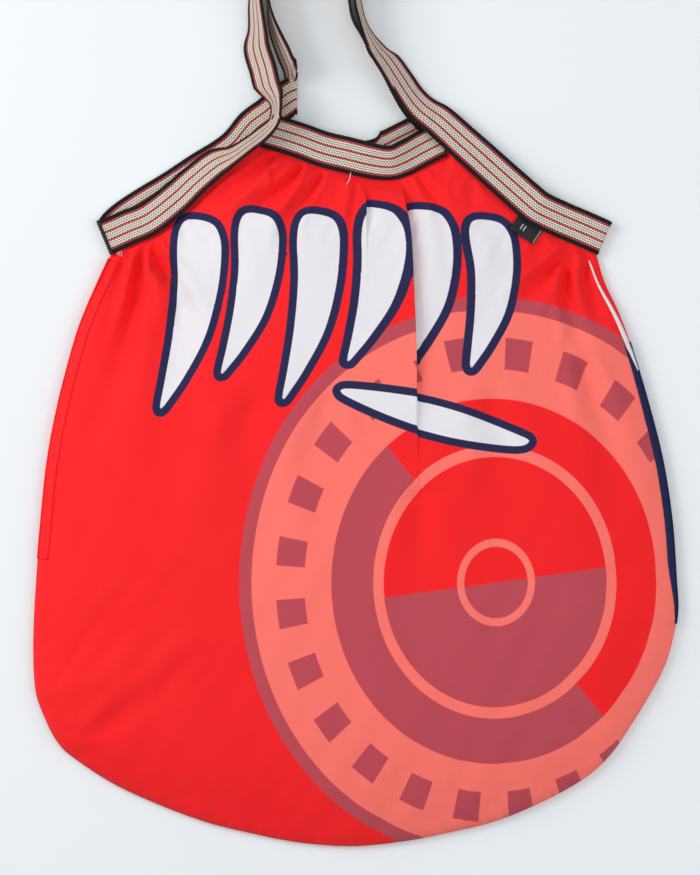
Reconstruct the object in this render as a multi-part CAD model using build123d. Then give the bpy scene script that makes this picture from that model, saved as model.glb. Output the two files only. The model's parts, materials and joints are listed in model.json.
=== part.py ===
from build123d import *
from math import cos, pi, radians, sin
import os

# A jersey tote bag lying on its back: a flat pouch of knit fabric, its mouth and armholes bound
# with webbing, and two webbing shoulder straps that run on above it.
# Millimetres, +Z out of the front face, +Y from the bottom of the bag toward its straps.
os.makedirs("parts", exist_ok=True)

# ---- driving dimensions ----
WEBBING = 25.0            # width of every webbing
WEBBING_THICK = 1.2
FABRIC = 2.0              # jersey knit with the air that it traps
BELLY = 36.0              # height of the front above the floor at the fullest place
DOME_RADIUS = 1080.0      # radius of the front's swelling, across the bag
DOME_Y = -10.0            # the fullest place, from the middle of the bag
DOME_STRETCH = 1.1        # how much longer the swelling is along the bag
SIDE_LIP = 8.0            # how far the left side insert reaches onto the front
STRIPE_LIP = 6.0          # the same on the right
PIPING = 2.0
ALLOWANCE = 7.0           # seam allowance inside the bottom
ALLOWANCE_THICK = 1.0
ALLOWANCE_Z = 2.5         # height of its underside
LIFT_Y = 262.0            # where the straps leave the bag
LIFT_GAP = 0.5
LEFT_STRAP_X = -62.0
RIGHT_STRAP_X = 52.0
HEAD = 20.0               # length of the flat webbing below a strap's start
SWING_Y = 345.0           # where the straps bend sideways
LEFT_SWING_X = -63.5
RIGHT_SWING_X = -2.0
SWING_GAP = 3.0
LEG_OFFSET = 3.5          # half the distance between a strap's two legs at its bend
LOOP_LENGTH = 165.0
LOOP_HALF_WIDTH = 9.0
LEFT_LEAN = 4.0           # degrees that each loop leans outward
RIGHT_LEAN = 2.0
TAG_LENGTH = 20.0
TAG_WIDTH = 12.0
TAG_THICK = 0.8
TAG_SEAM = (122.0, 189.0)
TAG_TURN = -34.0          # degrees that the tag's seam slopes down to the right
CLEAR = 0.4               # between a moving piece and what it lies on
TALL = 60.0               # taller than anything in the bag
JOIN_THICK = 2.0          # binding over the left corner's join
SIDE_TOP = 166.0          # where the side seams end under the bindings
PIPING_END = 100.0

# ---- outline: down the left side, along the bottom and up the right side ----
RIM = [
    (-163, 184), (-170, 168), (-195, 108), (-214, 24), (-222, -59), (-224, -115),
    (-219, -147), (-205, -174), (-162, -205), (-70, -236), (-2, -244), (60, -236),
    (148, -205), (190, -163), (214, -122), (225, -80), (218, 4), (196, 87), (171, 160), (163, 183),
]
# middle lines of the bindings, from the left corner to the right one
FRONT_LEFT = [(-171, 180), (-150, 190), (-125, 206), (-95, 229), (-62, 252)]
FRONT_NECK = [(-62, 252), (-25, 241), (5, 234), (30, 233.5), (62, 250)]
FRONT_RIGHT = [(62, 250), (75, 243), (108, 216), (131, 198), (172, 179)]
BACK_LEFT = [(-171, 180), (-150, 198), (-125, 214), (-95, 236), (-62, 256)]
BACK_NECK = [(-62, 256), (-20, 250), (20, 250), (60, 256)]
BACK_RIGHT = [(60, 256), (75, 243), (108, 217), (131, 199), (172, 179)]
LEFT_INSERT_END = -45.0
RIGHT_INSERT_END = -90.0
BOTTOM_SEAM_TOP = -120.0


# ---- shapes ----
def strip(route, width, stations=16):
    """A flat strip of even width along a smooth route."""
    line = Spline(*route)
    sides = []
    for side in (-1, 1):
        points = []
        for i in range(stations + 1):
            u = i / stations
            along = line % u
            points.append(line @ u + Vector(-along.Y, along.X) * side * width / 2)
        sides.append(points)
    left, right = sides
    return make_face([Spline(*left), Line(left[-1], right[-1]), Spline(*right[::-1]),
                      Line(right[0], left[0])])


def largest(sketch):
    return max(sketch.faces(), key=lambda face: face.area)


def prism(face, low=0.0, high=TALL):
    return Pos(0, 0, low) * extrude(face, high - low, dir=(0, 0, 1))


def dome(depth=0.0):
    """Everything below the swollen front, taken in by depth."""
    ball = scale(Sphere(DOME_RADIUS - depth), (1, DOME_STRETCH, 1))
    return Pos(0, DOME_Y, BELLY - DOME_RADIUS) * ball


def on_front(face, top, bottom=None):
    """What stands over a plan area, up to top below the front, or the layer of it above bottom."""
    solid = prism(face) & dome(top)
    return solid if bottom is None else solid - dome(bottom)


def front_height(x, y):
    along = (y - DOME_Y) / DOME_STRETCH
    return BELLY - DOME_RADIUS + (DOME_RADIUS ** 2 - x * x - along * along) ** 0.5


def pouch_face(left, neck, right):
    """The plan of one side of the pouch, up to the middle lines of its bindings."""
    left = RIM[:1] + left[1:]
    right = right[:-1] + RIM[-1:]
    return make_face([Spline(*RIM), Spline(*left), Spline(*neck), Spline(*right)])


def margin(width, low=-TALL * 5, high=TALL * 5, side=0):
    """The plan area within width of the rim, between two heights, on one side (-1, 1) or both."""
    area = Pos(side * TALL * 5, (low + high) / 2) * Rectangle(TALL * 10, high - low)
    return strip(RIM, 2 * width, stations=60) & outer & area


def cap(route, end, thick, outward=0.0):
    """The plan area of an upright wall across the end of a binding."""
    line = Spline(*route)
    along = (line % end) * (1 if end else -1)
    place = Plane(line @ end + along * (outward - thick / 2), x_dir=along, z_dir=(0, 0, 1))
    return place * Rectangle(thick, WEBBING)


def plate(points, thick):
    """A ruled ribbon through (centre, heading, tilt) places."""
    faces = []
    for centre, heading, tilt in points:
        level = Vector(heading.Y, -heading.X)
        across = level * cos(tilt) + Vector(0, 0, 1) * sin(tilt)
        faces.append(Plane(centre, x_dir=across, z_dir=heading) * Rectangle(WEBBING, thick))
    return loft(faces, ruled=True)


def ease(u):
    return u * u * (3 - 2 * u)


def leg(start_x, end_x, high, side, stations=7):
    """One leg of a strap: flat where it leaves the bag, on its edge at the strap's bend."""
    first = Vector(start_x, LIFT_Y + LIFT_GAP)
    last = Vector(end_x, SWING_Y - SWING_GAP)
    heading = (last - first).normalized()
    places = []
    for i in range(stations + 1):
        u = i / stations
        tilt = ease(u) * pi / 2
        rise = WEBBING / 2 * sin(tilt) + WEBBING_THICK / 2 * cos(tilt) + high * (1 - ease(u))
        place = first + (last - first) * u
        facing = Vector(0, 1) if i == 0 else heading
        places.append((Vector(place.X, place.Y, rise), facing, side * tilt))
    return plate(places, WEBBING_THICK)


def strap_lower(x, swing_x, side):
    """side is 1 where the front leg is to the left of the back leg, and -1 where to the right."""
    high = front_height(x, LIFT_Y) - WEBBING_THICK
    front = leg(x, swing_x - side * LEG_OFFSET, high, side)
    back = leg(x, swing_x + side * LEG_OFFSET, 0, side)
    return front, back


def strap_loop(swing_x, lean):
    half, end = LEG_OFFSET, LOOP_LENGTH
    right_side = [(half, SWING_GAP), (half + 1, end * 0.25), (LOOP_HALF_WIDTH - 2, end * 0.6),
                  (LOOP_HALF_WIDTH, end * 0.85), (LOOP_HALF_WIDTH - 3, end * 0.96)]
    left_side = [(-x, y) for x, y in right_side[::-1]]
    ribbon = prism(strip(right_side + [(0, end)] + left_side, WEBBING_THICK, stations=30), 0, WEBBING)
    return Pos(swing_x, SWING_Y) * Rot(0, 0, lean) * ribbon


def head(x, low_y=LIFT_Y - HEAD):
    """Flat webbing that squares a binding up to the start of its strap."""
    return Pos(x, (low_y + LIFT_Y) / 2) * Rectangle(WEBBING, LIFT_Y - low_y)


# ---- plans ----
outer = pouch_face(FRONT_LEFT, FRONT_NECK, FRONT_RIGHT)
outer_back = pouch_face(BACK_LEFT, BACK_NECK, BACK_RIGHT)
left_edge = margin(SIDE_LIP, LEFT_INSERT_END, SIDE_TOP, side=-1)
right_edge = margin(STRIPE_LIP, RIGHT_INSERT_END, PIPING_END, side=1)
piping_edge = margin(PIPING, PIPING_END, SIDE_TOP, side=1)
wall = margin(FABRIC)
join_plan = cap(FRONT_LEFT, 0, JOIN_THICK, outward=JOIN_THICK)
below_straps = Pos(0, LIFT_Y - TALL * 5) * Rectangle(TALL * 10, TALL * 10)
ring_plans = {
    "front_left": (strip(FRONT_LEFT, WEBBING) + head(LEFT_STRAP_X) - join_plan) & below_straps,
    "front_right": (strip(FRONT_RIGHT, WEBBING) + head(RIGHT_STRAP_X)) & below_straps,
    "back_left": (strip(BACK_LEFT, WEBBING) + head(LEFT_STRAP_X) - join_plan) & below_straps,
    "back_right": (strip(BACK_RIGHT, WEBBING) + head(RIGHT_STRAP_X)) & below_straps,
}
front_rings = ring_plans["front_left"] + ring_plans["front_right"]
back_rings = ring_plans["back_left"] + ring_plans["back_right"]
front_neck_plan = largest((strip(FRONT_NECK, WEBBING) & below_straps) - front_rings)
back_neck_plan = largest((strip(BACK_NECK, WEBBING) & below_straps) - back_rings)
corner_walls = {"left": cap(FRONT_LEFT, 0, WEBBING_THICK), "right": cap(FRONT_RIGHT, 1, WEBBING_THICK)}
corners = corner_walls["left"] + corner_walls["right"] + join_plan

# ---- bindings ----
armhole_bands = {}
for side, corner in corner_walls.items():
    armhole_bands[side] = (on_front(ring_plans[f"front_{side}"], 0, WEBBING_THICK)
                           + prism(ring_plans[f"back_{side}"], 0, WEBBING_THICK)
                           + on_front(corner, 0))
front_neck_band = on_front(front_neck_plan, 0, WEBBING_THICK)
back_neck_band = prism(back_neck_plan, 0, WEBBING_THICK)
left_corner_join = on_front(join_plan, 0)

# ---- the pouch: a domed front on a back with low walls ----
whole_wall = on_front(wall - corners - front_rings - back_rings, FABRIC)


def front_piece(area):
    """A piece of the front, thinned where a binding is sewn onto it."""
    bound = front_rings + front_neck_plan
    area = area - corners
    top = on_front(area - bound, 0, FABRIC)
    lap = area & bound
    if lap.faces():
        top = top + on_front(lap, WEBBING_THICK, FABRIC)
    return top


def back_piece(area):
    bound = back_rings + back_neck_plan
    area = area - corners
    bottom = prism(area - bound, 0, FABRIC)
    lap = area & bound
    if lap.faces():
        bottom = bottom + prism(lap, WEBBING_THICK, FABRIC)
    return bottom


inserts = {"left_side_insert": left_edge, "right_side_insert": right_edge}
side_pieces = {}
for name, edge in inserts.items():
    side_pieces[name] = front_piece(edge) + back_piece(edge) + (whole_wall & prism(edge))
edges = left_edge + right_edge
front_panel = front_piece(outer - edges - piping_edge)
right_piping = front_piece(piping_edge)
back_panel = back_piece(outer_back - edges) + (whole_wall - prism(edges))
flange = margin(FABRIC + ALLOWANCE, high=BOTTOM_SEAM_TOP) - wall
bottom_seam_allowance = prism(flange, ALLOWANCE_Z, ALLOWANCE_Z + ALLOWANCE_THICK)

# ---- the tag, sewn in under the right binding's lower edge ----
tag_x, tag_y = TAG_SEAM
slope_x = -tag_x / DOME_RADIUS
slope_y = -(tag_y - DOME_Y) / DOME_STRETCH ** 2 / DOME_RADIUS
tag_seam = Vector(cos(radians(TAG_TURN)), sin(radians(TAG_TURN)), 0)
tag_normal = Vector(-slope_x, -slope_y, 1).normalized()
tag_along = (tag_seam - tag_normal * tag_seam.dot(tag_normal)).normalized()
tag_plane = Plane((tag_x, tag_y, front_height(tag_x, tag_y)), x_dir=tag_along, z_dir=tag_normal)
tag_place = Pos(0, -TAG_WIDTH / 2, CLEAR + TAG_THICK / 2)
label_tag = tag_plane * tag_place * Box(TAG_LENGTH, TAG_WIDTH, TAG_THICK)

# ---- everything, with the middle of its box over the origin ----
nodes = {
    "front_panel": front_panel,
    "back_panel": back_panel,
    "left_side_insert": side_pieces["left_side_insert"],
    "right_side_insert": side_pieces["right_side_insert"],
    "right_piping": right_piping,
    "bottom_seam_allowance": bottom_seam_allowance,
    "front_neck_band": front_neck_band,
    "back_neck_band": back_neck_band,
    "left_armhole_band": armhole_bands["left"],
    "right_armhole_band": armhole_bands["right"],
    "left_corner_join": left_corner_join,
    "label_tag": label_tag,
    "left_strap_lower": Compound(children=strap_lower(LEFT_STRAP_X, LEFT_SWING_X, 1)),
    "right_strap_lower": Compound(children=strap_lower(RIGHT_STRAP_X, RIGHT_SWING_X, -1)),
    "left_strap_loop": strap_loop(LEFT_SWING_X, LEFT_LEAN),
    "right_strap_loop": strap_loop(RIGHT_SWING_X, -RIGHT_LEAN),
}
boxes = [shape.bounding_box() for shape in nodes.values()]
middle_x = (min(b.min.X for b in boxes) + max(b.max.X for b in boxes)) / 2
middle_y = (min(b.min.Y for b in boxes) + max(b.max.Y for b in boxes)) / 2
home = Pos(-middle_x, -middle_y, -min(b.min.Z for b in boxes))
for name, shape in nodes.items():
    export_step(home * shape, f"parts/{name}.step")

lift_axes = {x: front_height(x, LIFT_Y) for x in (LEFT_STRAP_X, RIGHT_STRAP_X)}
print("moved by", home.position, "lift axis heights", lift_axes)
print("tag seam", tag_plane.origin, "along", tag_along, "normal", tag_normal)
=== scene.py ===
import json
import math

import bpy
import numpy as np
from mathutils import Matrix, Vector
from mathutils.bvhtree import BVHTree
from mathutils.geometry import delaunay_2d_cdt


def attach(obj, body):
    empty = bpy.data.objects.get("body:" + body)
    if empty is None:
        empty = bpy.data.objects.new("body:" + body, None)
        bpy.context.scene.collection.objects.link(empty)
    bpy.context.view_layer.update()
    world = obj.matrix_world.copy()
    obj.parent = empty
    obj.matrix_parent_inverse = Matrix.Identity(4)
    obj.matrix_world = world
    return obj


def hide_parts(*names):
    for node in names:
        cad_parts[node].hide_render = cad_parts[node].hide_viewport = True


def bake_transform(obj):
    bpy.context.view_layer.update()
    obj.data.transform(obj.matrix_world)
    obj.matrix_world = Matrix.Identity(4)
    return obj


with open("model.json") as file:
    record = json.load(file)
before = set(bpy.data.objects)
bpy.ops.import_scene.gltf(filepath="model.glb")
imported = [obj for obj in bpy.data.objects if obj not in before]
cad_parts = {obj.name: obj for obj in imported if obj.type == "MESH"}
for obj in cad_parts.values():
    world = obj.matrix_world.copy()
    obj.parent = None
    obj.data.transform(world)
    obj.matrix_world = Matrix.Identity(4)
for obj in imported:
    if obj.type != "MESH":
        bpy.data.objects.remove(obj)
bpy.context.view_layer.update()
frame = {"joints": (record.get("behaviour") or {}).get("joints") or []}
MM = 0.001

# ---- places: millimetres from the middle of the pouch, +Y toward the straps ----
LIFT_Y = 262.0            # where the straps leave the bag
LEFT_LIFT_X = -62.0
RIGHT_LIFT_X = 52.0
SWING_Y = 345.0           # where the straps bend sideways
LEFT_SWING_X = -63.5
RIGHT_SWING_X = -2.0
CUT_Y = 305.0             # where a strap's lower and upper visual pieces meet
LEFT_LEAN = math.radians(4)
RIGHT_LEAN = math.radians(2)
WEBBING = 25.0
TOP_REACH = 0.28          # how far the fabric goes under the webbing, as a share of its width
RIM_ROUND = 3.5           # radius of the rolled fold along the sides and the bottom
RIM_Z = 4.2               # height of that fold's middle

# the fold along the left side, the bottom and the right side
RIM = [
    (-168, 172), (-178.5, 149), (-187.5, 128.5), (-195, 107.5), (-206, 66), (-214, 24.5), (-218.5, -17.5),
    (-222, -59), (-224, -100.5), (-223, -132), (-219, -148), (-208, -171), (-194.5, -184), (-161.5, -204.5),
    (-110.5, -225.5), (-70, -236), (-38, -242), (-2, -244.5), (31, -241.5), (60.5, -236), (102.5, -225.5),
    (148, -204.5), (175, -184), (197, -152.5), (214.5, -121.5), (222, -97), (224.5, -79), (223.5, -59),
    (220.5, -17.5), (214, 24.5), (203.5, 66), (191, 107.5), (183, 128.5), (173.5, 149), (167, 171),
]
# Each binding is a list of places along it: the edge sewn to the fabric, then the free edge,
# each as (x, y, height).
LEFT_RING = [
    ((-167.5, 168, 5), (-177.5, 192, 4)), ((-152.5, 175, 6), (-164, 197.5, 4.5)),
    ((-138, 181.5, 8), (-148.5, 203.5, 3.8)), ((-116.5, 198, 10), (-131, 217, 3.2)),
    ((-105, 209.5, 12.5), (-118.5, 227.5, 2.8)), ((-92.5, 220.5, 15), (-102.5, 239.5, 2.8)),
    ((-82.5, 229, 20), (-87.5, 242, 2.8)), ((-71.5, 237.5, 22), (-77, 248, 2.8)),
    ((-60.5, 245.5, 23.5), (-66.5, 256, 2.8)), ((-52.5, 255.5, 26), (-60, 261, 3)),
    ((-50.5, 266, 27), (-58.5, 269.5, 3.5)), ((-50.5, 274, 26), (-62, 275.5, 4)),
    ((-51.5, 282.5, 21), (-70, 284, 4)), ((-54, 295, 19), (-73.5, 295.5, 3)),
    ((-58.5, 309, 18.5), (-77.5, 311.5, 2)), ((-61.5, 325, 22.5), (-74.5, 324.5, 1.2)),
    ((-64.5, 343.5, 24.5), (-74, 343.5, 1)),
]
RIGHT_RING = [
    ((166.5, 167.5, 5), (177, 191.5, 6)), ((151.5, 174, 6), (161.5, 198.5, 8)),
    ((136.5, 181, 7), (149, 202.5, 9)), ((121.5, 189.5, 8), (134.5, 207.5, 13)),
    ((112.5, 195.5, 9), (127.5, 214, 11)), ((97, 208, 9.5), (114, 227, 9)),
    ((82, 222, 10), (98.5, 241, 8.5)), ((67.5, 236, 11), (84, 252.5, 8)),
    ((52, 250, 12.5), (68, 267, 7)), ((37, 263.5, 15), (56, 273.5, 5)),
    ((28, 276, 17), (48, 281, 3)), ((20, 289.5, 17.5), (40.5, 291, 2.5)),
    ((13, 300.5, 19), (31, 304.5, 2)), ((7.5, 311.5, 22), (21.5, 311.5, 1.5)),
    ((3, 326, 24.5), (9.5, 326, 1)), ((-0.5, 343.5, 25), (4, 343.5, 1)),
]
LEFT_BACK = [
    ((-168, 168.5, 1.3), (-177.5, 193, 1.6)), ((-152.5, 183, 1.1), (-164.5, 205.5, 1.2)),
    ((-125, 200.5, 1), (-138, 221.5, 1)), ((-102.5, 215, 1), (-116.5, 236, 1)),
    ((-77.5, 232, 1), (-92.5, 251, 1.2)), ((-64, 247, 1.2), (-78, 267, 2.2)),
    ((-54, 253.5, 3), (-66, 276.5, 4.5)), ((-47, 259.5, 5), (-55, 285, 6.5)),
    ((-42.6, 264, 5.4), (-45, 290.5, 7.2)), ((-40.8, 265.5, 3.6), (-40.8, 293, 5.2)),
    ((-43.6, 270, 1.4), (-41.0, 294.6, 4.0)), ((-47.5, 281, 1.0), (-41.2, 296.8, 15)),
    ((-48.6, 292, 1.0), (-42.2, 300.5, 23)), ((-53.4, 303.5, 1), (-45.6, 309, 24)),
    ((-58.3, 318, 1.0), (-51.4, 320, 24.6)), ((-60.6, 331, 1), (-56.8, 331.5, 25)),
    ((-61, 343.5, 1), (-59.7, 343.5, 25)),
]
RIGHT_BACK = [
    ((165.5, 168.5, 1.3), (175, 192, 1.6)), ((135.5, 182, 1.1), (147, 203, 1.2)),
    ((111.5, 196.5, 1), (126.5, 213.5, 1)), ((81, 223, 1), (97, 241, 1)),
    ((66, 236, 1.2), (81.5, 252, 1)), ((52.5, 249, 3), (66, 264, 1.2)), ((40, 262, 7), (54, 272, 1.2)),
    ((30, 276, 12.5), (43, 281, 1.2)), ((21.5, 289.5, 16), (31, 293, 1.2)),
    ((13.5, 301.5, 18.5), (22.5, 304.5, 1.2)), ((6.5, 313, 22.5), (11, 313.5, 1)),
    ((-1.5, 328.5, 25), (-0.5, 329, 1)), ((-4.2, 343.5, 25), (-3.9, 343.5, 1)),
]
FRONT_NECK = [
    ((-66, 240.5, 14), (-56.5, 265, 11)), ((-43, 233.5, 12), (-34, 258.5, 9)),
    ((-25, 227.5, 10), (-17.5, 252, 9.5)), ((-7, 224, 9.5), (-3.5, 248, 12)),
    ((12, 221, 9), (11, 243, 15)), ((24.5, 220.5, 9), (23.5, 240, 18)),
    ((34, 223, 9), (32.5, 244, 15)), ((45, 227, 8), (44.5, 252.5, 8)),
    ((64, 235.5, 6.5), (56, 259.5, 5.5)),
]
BACK_NECK = [
    ((-61, 239, 1), (-53.5, 263, 1)), ((-40, 232, 1), (-34, 256, 1)), ((-22, 226, 1), (-17.5, 249.5, 1)),
    ((-1, 222, 1), (0, 247, 1)), ((13, 223.5, 1), (14.5, 248.5, 1.6)), ((26, 230, 1), (19.5, 253, 4.5)),
    ((38, 235.5, 1), (28.5, 258.5, 5)), ((49, 241, 1), (39.5, 264.5, 3)), ((60, 247, 1), (52, 271.5, 1.4)),
]
# the deep knife pleat in the front, and a short one to its left, from the neck band downward
PLEATS = [
    {"line": [(28, 232), (34, 202), (38, 180), (40, 136), (41.5, 101), (42.5, 52), (44, 0)],
     "end": 5.0, "fade": 120.0, "height": 5.0, "hidden": 22.0, "reach": 22.0, "lap": 1.6},
    {"line": [(4.5, 232), (7, 210), (8, 190), (8.5, 165), (9, 150)],
     "end": 160.0, "fade": 50.0, "height": 2.8, "hidden": 8.0, "reach": 12.0, "lap": 0.9},
]

lift_joint = next(j for j in frame["joints"] if j["name"] == "left_strap_lift")
HOME = Vector(lift_joint["pos_m"]) - Vector((LEFT_LIFT_X, LIFT_Y, 0)) * MM
HOME.z = 0


def place(x, y, z=0.0):
    """A place in metres in the row frame, from millimetres from the middle of the pouch."""
    return HOME + Vector((x, y, z)) * MM


def to_frame(points):
    return np.asarray(points, float) * MM + np.array(HOME)


# ---- curves and meshes ----
CURVE_PARTS = 24          # how finely a smooth curve is cut between two given points


def run_along(line):
    """How far along a line each of its points is."""
    return np.append(0, np.cumsum(np.linalg.norm(np.diff(line, axis=0), axis=1)))


def unit(vectors):
    """The same directions, each at length one."""
    return vectors / np.linalg.norm(vectors, axis=-1, keepdims=True)


def smooth(points, step, closed=False):
    """Even steps along a smooth curve through points; the first three columns give its length."""
    p = np.array(points, float)
    if closed:
        e = np.vstack([p[-1:], p, p[:2]])
    else:
        e = np.vstack([2 * p[0] - p[1], p, 2 * p[-1] - p[-2]])
    u = np.linspace(0, 1, CURVE_PARTS, endpoint=False)[:, None]
    rows = []
    for a, b, c, d in zip(e[:-3], e[1:-2], e[2:-1], e[3:]):
        rows.append(0.5 * (2 * b + (c - a) * u + (2 * a - 5 * b + 4 * c - d) * u ** 2
                           + (3 * b - a - 3 * c + d) * u ** 3))
    rows.append(e[-2:-1] if not closed else p[:1])
    fine = np.vstack(rows)
    run = run_along(fine[:, :3])
    at = np.linspace(0, run[-1], max(3, int(run[-1] / step) + 1))
    return np.column_stack([np.interp(at, run, column) for column in fine.T])


def store(obj, name, values):
    """Keeps one number or one vector per point, for the materials."""
    kind = "FLOAT" if np.ndim(values) == 1 else "FLOAT_VECTOR"
    key = "value" if kind == "FLOAT" else "vector"
    held = obj.data.attributes.get(name) or obj.data.attributes.new(name, kind, "POINT")
    held.data.foreach_set(key, np.asarray(values, np.float32).ravel())


def flat_places(x, y):
    """Places in the flat cloth, as the vectors that the materials read."""
    return np.stack([x, y, np.zeros(np.shape(x))], -1).reshape(-1, 3)


def make_mesh(name, points, faces, attributes=(), smooth_shade=True):
    """A mesh from millimetre points, with the attributes that its material reads."""
    mesh = bpy.data.meshes.new(name)
    mesh.from_pydata(to_frame(points).tolist(), [], [list(map(int, f)) for f in faces])
    obj = bpy.data.objects.new(name, mesh)
    for key, values in attributes:
        store(obj, key, values)
    if smooth_shade:
        mesh.shade_smooth()
    mesh.update()
    bpy.context.scene.collection.objects.link(obj)
    return obj


def mesh_points(obj):
    """The mesh's points, back in millimetres from the middle of the pouch."""
    flat = np.empty(len(obj.data.vertices) * 3)
    obj.data.vertices.foreach_get("co", flat)
    return (flat.reshape(-1, 3) - np.array(HOME)) / MM


def set_points(obj, points):
    obj.data.vertices.foreach_set("co", to_frame(points).ravel())
    obj.data.update()


def segment_distance(points, line, chunk=4000):
    """Distance from each plan point to a polyline, and how far along it the nearest place is."""
    a, b = line[:-1], line[1:]
    span = b - a
    length = np.linalg.norm(span, axis=1)
    run = np.append(0, np.cumsum(length))
    gap, along = [], []
    for i in range(0, len(points), chunk):
        rel = points[i:i + chunk, None, :] - a[None]
        t = np.clip((rel * span).sum(2) / np.maximum(length ** 2, 1e-9), 0, 1)
        away = np.linalg.norm(rel - t[..., None] * span, axis=2)
        best = away.argmin(1)
        rows = np.arange(len(best))
        gap.append(away[rows, best])
        along.append(run[best] + t[rows, best] * length[best])
    return np.concatenate(gap), np.concatenate(along)


def inside(points, loop):
    """Which plan points are inside a closed loop."""
    x, y = points[:, 0], points[:, 1]
    hit = np.zeros(len(points), bool)
    for (x0, y0), (x1, y1) in zip(loop, np.roll(loop, -1, axis=0)):
        cross = (y0 > y) != (y1 > y)
        with np.errstate(divide="ignore", invalid="ignore"):
            hit ^= cross & (x < (x1 - x0) * (y - y0) / (y1 - y0) + x0)
    return hit


# ---- webbing ----
def stations(binding):
    """Middle and width direction at each place of a binding."""
    rows = []
    for sewn, free in binding:
        sewn, free = np.array(sewn, float), np.array(free, float)
        across = free - sewn
        rows.append(np.concatenate([(sewn + free) / 2, across / np.linalg.norm(across)]))
    return rows


# A strap's upper part beside its middle line: distance out, height, degrees of twist.
LOOP_SIDE = [(4.2, 18, 0), (5.5, 50, 0), (7.5, 100, 0), (9.0, 138, 0), (6.8, 157, 0)]
LOOP_TWISTED = [
    (4.2, 18, 0), (8.0, 45, 45), (13.0, 72, 90), (10.5, 100, 138), (9.0, 138, 180), (6.8, 157, 180),
]
LOOP_END = 165.0
LOOP_Z = 13.0


def loop_stations(swing_x, lean, rear_side, rear_up):
    """A strap's upper part, on its edge: up from the rear leg, round its end and down to the front leg.
    rear_side is 1 where the rear leg is on the right. rear_up is 1 where its free edge is the upper one,
    and there the webbing turns over on its way to the front leg."""
    rear = [(rear_side * x, y, turn) for x, y, turn in (LOOP_TWISTED if rear_up > 0 else LOOP_SIDE)]
    last = 180 if rear_up > 0 else 0
    front_side = [(-rear_side * x, y, last) for x, y, _ in LOOP_SIDE[::-1]]
    rows = []
    for x, y, turn in rear + [(0, LOOP_END, last)] + front_side:
        px = swing_x + x * math.cos(lean) - y * math.sin(lean)
        py = SWING_Y + x * math.sin(lean) + y * math.cos(lean)
        out = rear_side * math.sin(math.radians(turn))
        up = rear_up * math.cos(math.radians(turn))
        rows.append(np.array([px, py, LOOP_Z, out * math.cos(lean), out * math.sin(lean), up]))
    return rows


HALF = WEBBING / 2
SELVEDGE = 9.6            # where the black edge begins, from the middle
# half of the webbing's section: across, and height
PROFILE = [(-HALF, 0), (-12.25, 0.45), (-11.6, 0.78), (-10.8, 0.8), (-10.1, 0.68), (-SELVEDGE, 0.5),
           (-8, 0.52), (-5.5, 0.52), (-3, 0.5), (0, 0.52), (3, 0.5), (5.5, 0.52), (8, 0.52),
           (SELVEDGE, 0.5), (10.1, 0.68), (10.8, 0.8), (11.6, 0.78), (12.25, 0.45), (HALF, 0)]
ROPE_PITCH = 2.1
ROPE_DEPTH = 0.22
WEBBING_STEP = 0.7
LEAST_HEIGHT = 0.15
MOST_SLANT = 0.88         # a fold across the webbing is at most this far from square


def ribbon(name, path, start=0.0):
    """Webbing along a path of middles and width directions, with thick rope-like selvedges."""
    middle, across = path[:, :3], unit(path[:, 3:])
    run = start + run_along(middle)
    along = unit(np.gradient(middle, axis=0))
    slant = np.linalg.norm(np.cross(along, across), axis=1)
    across = across / np.clip(slant, MOST_SLANT, 1)[:, None]
    normal = unit(np.cross(along, across))
    ring = PROFILE + [(u, -h) for u, h in PROFILE[-2:0:-1]]
    u = np.array([p[0] for p in ring])
    h = np.array([p[1] for p in ring])
    edge = np.clip((np.abs(u) - SELVEDGE) / 1.5, 0, 1)
    sway = 0.12 * np.sin(run / 17.0)[:, None] + 0.08 * np.sin(run / 6.1)[:, None]
    twist = 2 * np.pi * run[:, None] / ROPE_PITCH + u[None] * 0.5
    wide = u[None] + np.sign(u)[None] * edge * (ROPE_DEPTH * np.sin(twist)) + sway
    high = h[None] * (1 + ROPE_DEPTH * edge * np.sin(twist + 0.8))
    points = middle[:, None] + across[:, None] * wide[..., None] + normal[:, None] * high[..., None]
    points[..., 2] += np.maximum(0, LEAST_HEIGHT - points[..., 2].min(axis=1))[:, None]
    count, size = len(run), len(u)
    faces = []
    for i in range(count - 1):
        a, b = i * size, (i + 1) * size
        faces += [(a + j, a + (j + 1) % size, b + (j + 1) % size, b + j) for j in range(size)]
    faces.append(tuple(range(size - 1, -1, -1)))
    faces.append(tuple(range((count - 1) * size, count * size)))
    attributes = [("across", np.tile(u, count)), ("along", np.repeat(run, size))]
    return make_mesh(name, points.reshape(-1, 3), faces, attributes)


# ---- staging: camera, light and floor come first ----
FRAME_HEIGHT = 607.0      # millimetres of the view, top to bottom, at the bag
VIEW_MIDDLE = (-3.5, 40.0)
LENS = 100.0
SENSOR = 36.0


def add_camera():
    data = bpy.data.cameras.new("camera")
    data.lens = LENS
    data.sensor_width = SENSOR
    camera = bpy.data.objects.new("camera", data)
    distance = FRAME_HEIGHT / 2 / (SENSOR / 2 / LENS)
    camera.location = place(*VIEW_MIDDLE, 10 + distance)
    bpy.context.scene.collection.objects.link(camera)
    bpy.context.scene.camera = camera


def add_softbox(name, position, aim, size, power, colour):
    data = bpy.data.lights.new(name, "AREA")
    data.shape = "RECTANGLE"
    data.size, data.size_y = size
    data.energy = power
    data.color = colour
    light = bpy.data.objects.new(name, data)
    light.location = place(*position)
    light.rotation_euler = (place(*aim) - place(*position)).to_track_quat("-Z", "Y").to_euler()
    bpy.context.scene.collection.objects.link(light)


FLOOR_SIDE = 3000.0
FLOOR_DROP = 0.2          # the floor lies this far below the bag


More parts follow.
